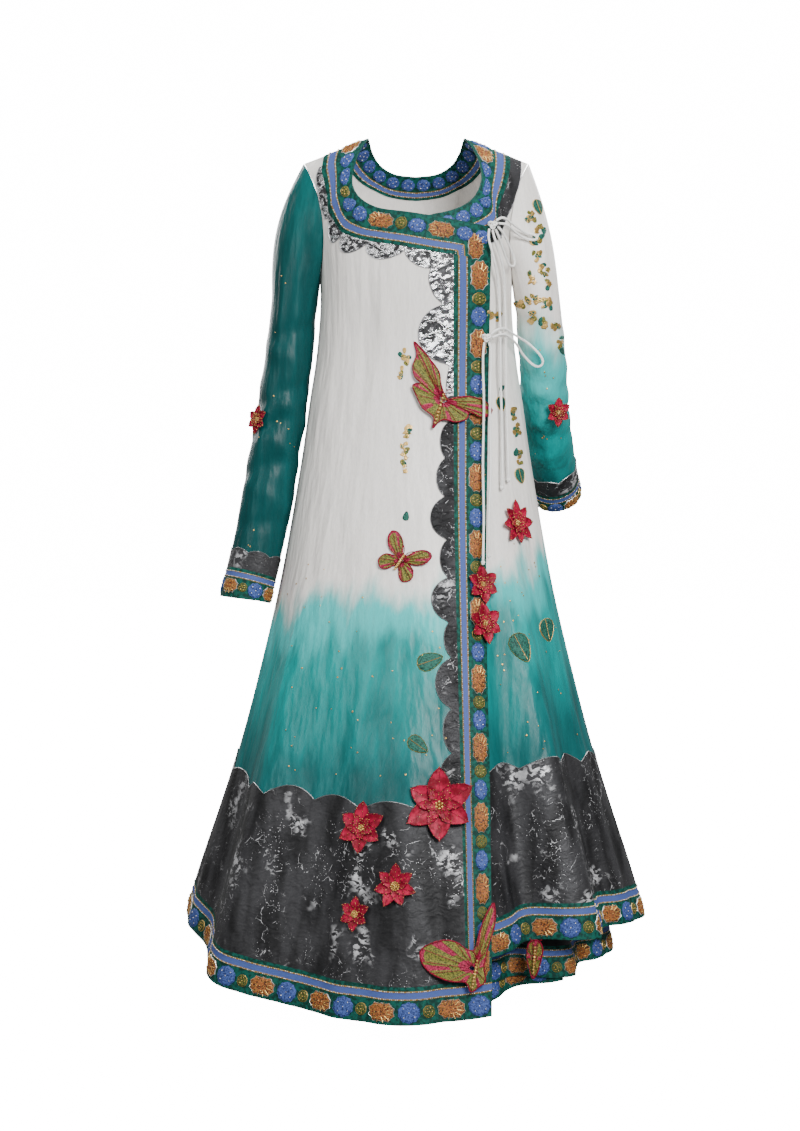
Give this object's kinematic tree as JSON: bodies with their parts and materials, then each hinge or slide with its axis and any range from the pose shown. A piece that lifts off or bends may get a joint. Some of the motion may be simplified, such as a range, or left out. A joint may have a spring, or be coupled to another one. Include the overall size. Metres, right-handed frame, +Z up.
{
  "type": "anarkali gown",
  "caption": "Floor-length wrap-front anarkali gown with long sleeves, a flared skirt over an underskirt, ribbon borders and tie cords.",
  "frame": {"origin": "centre plane of the gown at the level of the neck points of the shoulder seams, in the plane of the side seams", "axes": "+Z up, -Y towards the front, +X towards the wearer's left"},
  "size_m": [0.7822, 0.7566, 1.39],
  "materials": {
    "satin": "dip-dyed satin, white to teal",
    "ribbon": "woven ribbon with beaded medallions",
    "foil": "crinkled foil cloth",
    "flower": "stitched applique petals",
    "butterfly": "embroidered applique",
    "cord": "matt cotton cord"
  },
  "bodies": {
    "root": {"back_hem_foil": "foil", "back_hem_ribbon": "ribbon", "back_neck_facing": "ribbon", "back_neck_ribbon": "ribbon", "back_panel": "satin", "butterfly_bodice": "butterfly", "butterfly_front": "butterfly", "butterfly_hem": "butterfly", "cuff_foil_left": "foil", "cuff_foil_right": "foil", "cuff_ribbon_left": "ribbon", "cuff_ribbon_right": "ribbon", "flower_hem_edge": "flower", "flower_hem_large": "flower", "flower_hem_low": "flower", "flower_hem_side": "flower", "flower_left_sleeve": "flower", "flower_placket_lower": "flower", "flower_placket_upper": "flower", "flower_right_sleeve": "flower", "flower_waist": "flower", "front_overlap": "satin", "front_right": "satin", "knot_lower": "cord", "knot_upper": "cord", "loop_long_lower": "cord", "loop_long_upper": "cord", "loop_short_upper": "cord", "overlap_hem_foil": "foil", "overlap_hem_ribbon": "ribbon", "overlap_neck_ribbon": "ribbon", "placket_ribbon": "ribbon", "right_hem_foil": "foil", "right_hem_ribbon": "ribbon", "right_neck_ribbon": "ribbon", "sleeve_left": "satin", "sleeve_right": "satin", "tail_inner_lower": "cord", "tail_inner_upper": "cord", "tail_outer_lower": "cord", "tail_outer_upper": "cord", "underflap": "satin", "underflap_ribbon": "ribbon", "underskirt_back": "satin", "underskirt_back_ribbon": "ribbon", "underskirt_front": "satin", "underskirt_front_ribbon": "ribbon"}
  },
  "joints": []
}
